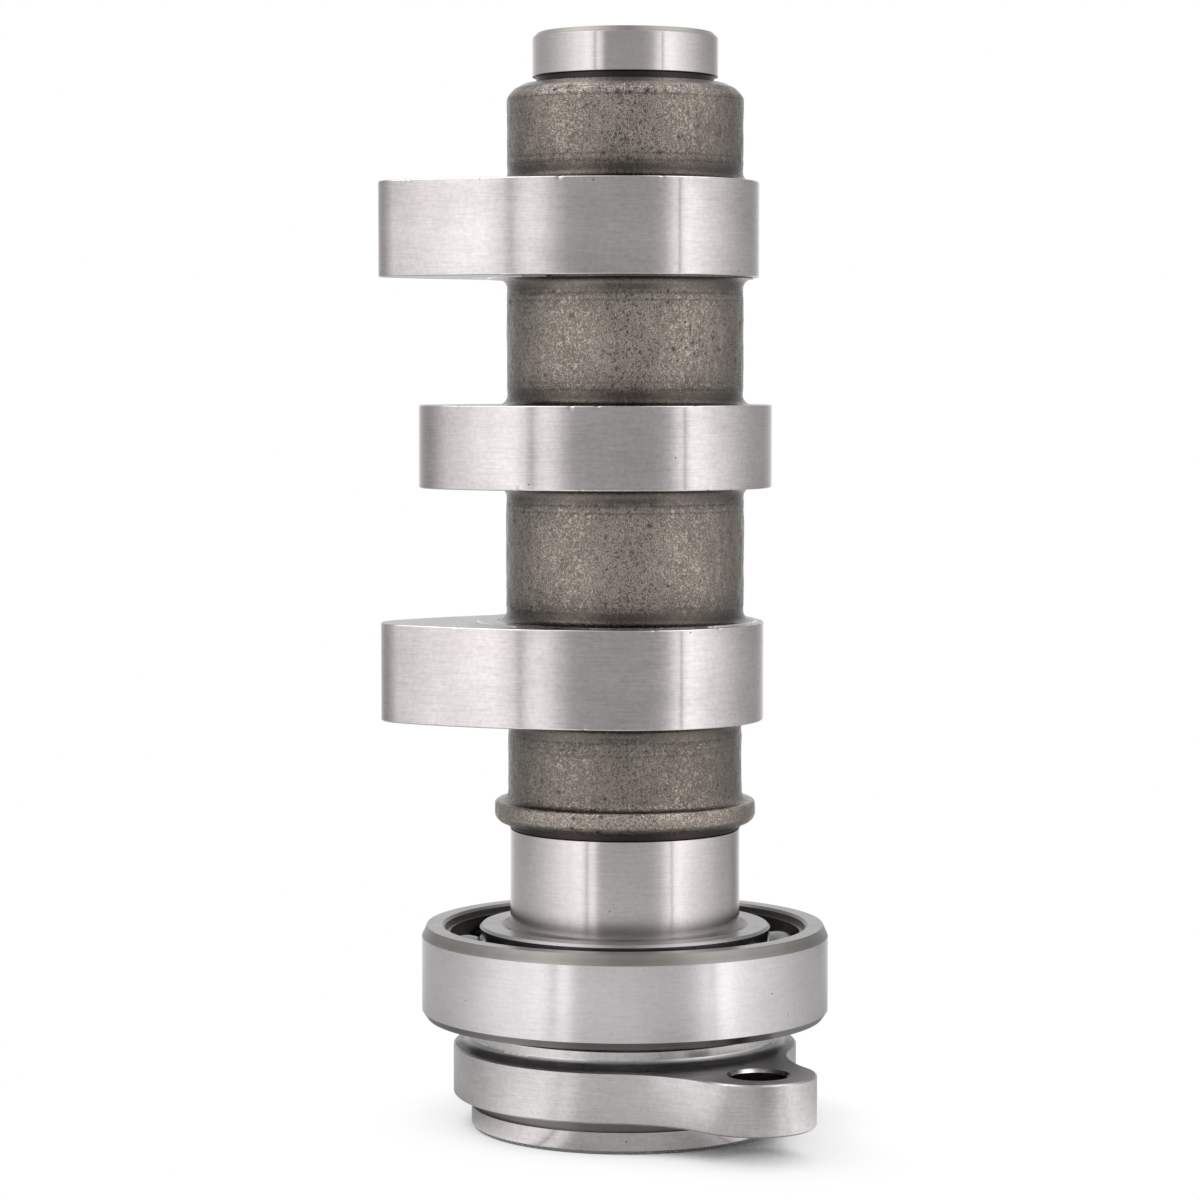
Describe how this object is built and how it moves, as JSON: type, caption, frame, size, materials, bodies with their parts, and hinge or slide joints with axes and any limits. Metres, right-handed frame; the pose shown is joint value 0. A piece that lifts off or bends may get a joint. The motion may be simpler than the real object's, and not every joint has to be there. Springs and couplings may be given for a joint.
{
  "type": "camshaft",
  "caption": "Engine camshaft with raw shaft sections, ground lobes and journals, an open ball bearing and a pressed hub with a pilot and an eared flange at the drive end.",
  "frame": {"origin": "on the shaft's axis, in the plane of the drive hub's lower face, which the camshaft stands on", "axes": "+Z along the shaft from the drive end to the free end; -Y towards the side that the picture shows"},
  "size_m": [0.0681, 0.0668, 0.1658],
  "materials": {
    "camshaft_steel": "ground lobes and journals, raw brown-grey shaft between them",
    "hub_steel": "fine turned and ground steel",
    "bearing_steel": "ground bearing steel with darker corner chamfers",
    "cage_sheet": "pressed sheet steel, oiled",
    "ball_steel": "lapped mirror finish"
  },
  "bodies": {
    "shaft": {"camshaft": "camshaft_steel", "drive_hub": "hub_steel", "bearing_inner_ring": "bearing_steel"},
    "outer_ring": {"bearing_outer_ring": "bearing_steel"},
    "cage": {"cage_upper": "cage_sheet", "cage_lower": "cage_sheet", "cage_rivets": "cage_sheet"},
    "ball_01": {"ball_01": "ball_steel"},
    "ball_02": {"ball_02": "ball_steel"},
    "ball_03": {"ball_03": "ball_steel"},
    "ball_04": {"ball_04": "ball_steel"},
    "ball_05": {"ball_05": "ball_steel"},
    "ball_06": {"ball_06": "ball_steel"},
    "ball_07": {"ball_07": "ball_steel"},
    "ball_08": {"ball_08": "ball_steel"},
    "ball_09": {"ball_09": "ball_steel"},
    "ball_10": {"ball_10": "ball_steel"},
    "ball_11": {"ball_11": "ball_steel"}
  },
  "joints": [
    {"name": "outer_ring_spin", "type": "hinge", "parent": "shaft", "child": "outer_ring", "pos_m": [0, 0, 0.02388], "axis": [0, 0, 1], "continuous": true},
    {"name": "cage_spin", "type": "hinge", "parent": "shaft", "child": "cage", "pos_m": [0, 0, 0.02388], "axis": [0, 0, 1], "continuous": true},
    {"name": "ball_01_spin", "type": "hinge", "parent": "cage", "child": "ball_01", "pos_m": [-0.0242, 0.00148, 0.02388], "axis": [0, 0, 1], "continuous": true},
    {"name": "ball_02_spin", "type": "hinge", "parent": "cage", "child": "ball_02", "pos_m": [-0.02116, -0.01184, 0.02388], "axis": [0, 0, 1], "continuous": true},
    {"name": "ball_03_spin", "type": "hinge", "parent": "cage", "child": "ball_03", "pos_m": [-0.0114, -0.0214, 0.02388], "axis": [0, 0, 1], "continuous": true},
    {"name": "ball_04_spin", "type": "hinge", "parent": "cage", "child": "ball_04", "pos_m": [0.00198, -0.02417, 0.02388], "axis": [0, 0, 1], "continuous": true},
    {"name": "ball_05_spin", "type": "hinge", "parent": "cage", "child": "ball_05", "pos_m": [0.01473, -0.01926, 0.02388], "axis": [0, 0, 1], "continuous": true},
    {"name": "ball_06_spin", "type": "hinge", "parent": "cage", "child": "ball_06", "pos_m": [0.02281, -0.00824, 0.02388], "axis": [0, 0, 1], "continuous": true},
    {"name": "ball_07_spin", "type": "hinge", "parent": "cage", "child": "ball_07", "pos_m": [0.02364, 0.0054, 0.02388], "axis": [0, 0, 1], "continuous": true},
    {"name": "ball_08_spin", "type": "hinge", "parent": "cage", "child": "ball_08", "pos_m": [0.01697, 0.01732, 0.02388], "axis": [0, 0, 1], "continuous": true},
    {"name": "ball_09_spin", "type": "hinge", "parent": "cage", "child": "ball_09", "pos_m": [0.00491, 0.02375, 0.02388], "axis": [0, 0, 1], "continuous": true},
    {"name": "ball_10_spin", "type": "hinge", "parent": "cage", "child": "ball_10", "pos_m": [-0.00871, 0.02263, 0.02388], "axis": [0, 0, 1], "continuous": true},
    {"name": "ball_11_spin", "type": "hinge", "parent": "cage", "child": "ball_11", "pos_m": [-0.01956, 0.01433, 0.02388], "axis": [0, 0, 1], "continuous": true}
  ],
  "couplings": [
    {"joint": "cage_spin", "follows": "outer_ring_spin", "ratio": 0.58184},
    {"joint": "ball_01_spin", "follows": "outer_ring_spin", "ratio": 2.9731},
    {"joint": "ball_02_spin", "follows": "outer_ring_spin", "ratio": 2.9731},
    {"joint": "ball_03_spin", "follows": "outer_ring_spin", "ratio": 2.9731},
    {"joint": "ball_04_spin", "follows": "outer_ring_spin", "ratio": 2.9731},
    {"joint": "ball_05_spin", "follows": "outer_ring_spin", "ratio": 2.9731},
    {"joint": "ball_06_spin", "follows": "outer_ring_spin", "ratio": 2.9731},
    {"joint": "ball_07_spin", "follows": "outer_ring_spin", "ratio": 2.9731},
    {"joint": "ball_08_spin", "follows": "outer_ring_spin", "ratio": 2.9731},
    {"joint": "ball_09_spin", "follows": "outer_ring_spin", "ratio": 2.9731},
    {"joint": "ball_10_spin", "follows": "outer_ring_spin", "ratio": 2.9731},
    {"joint": "ball_11_spin", "follows": "outer_ring_spin", "ratio": 2.9731}
  ]
}
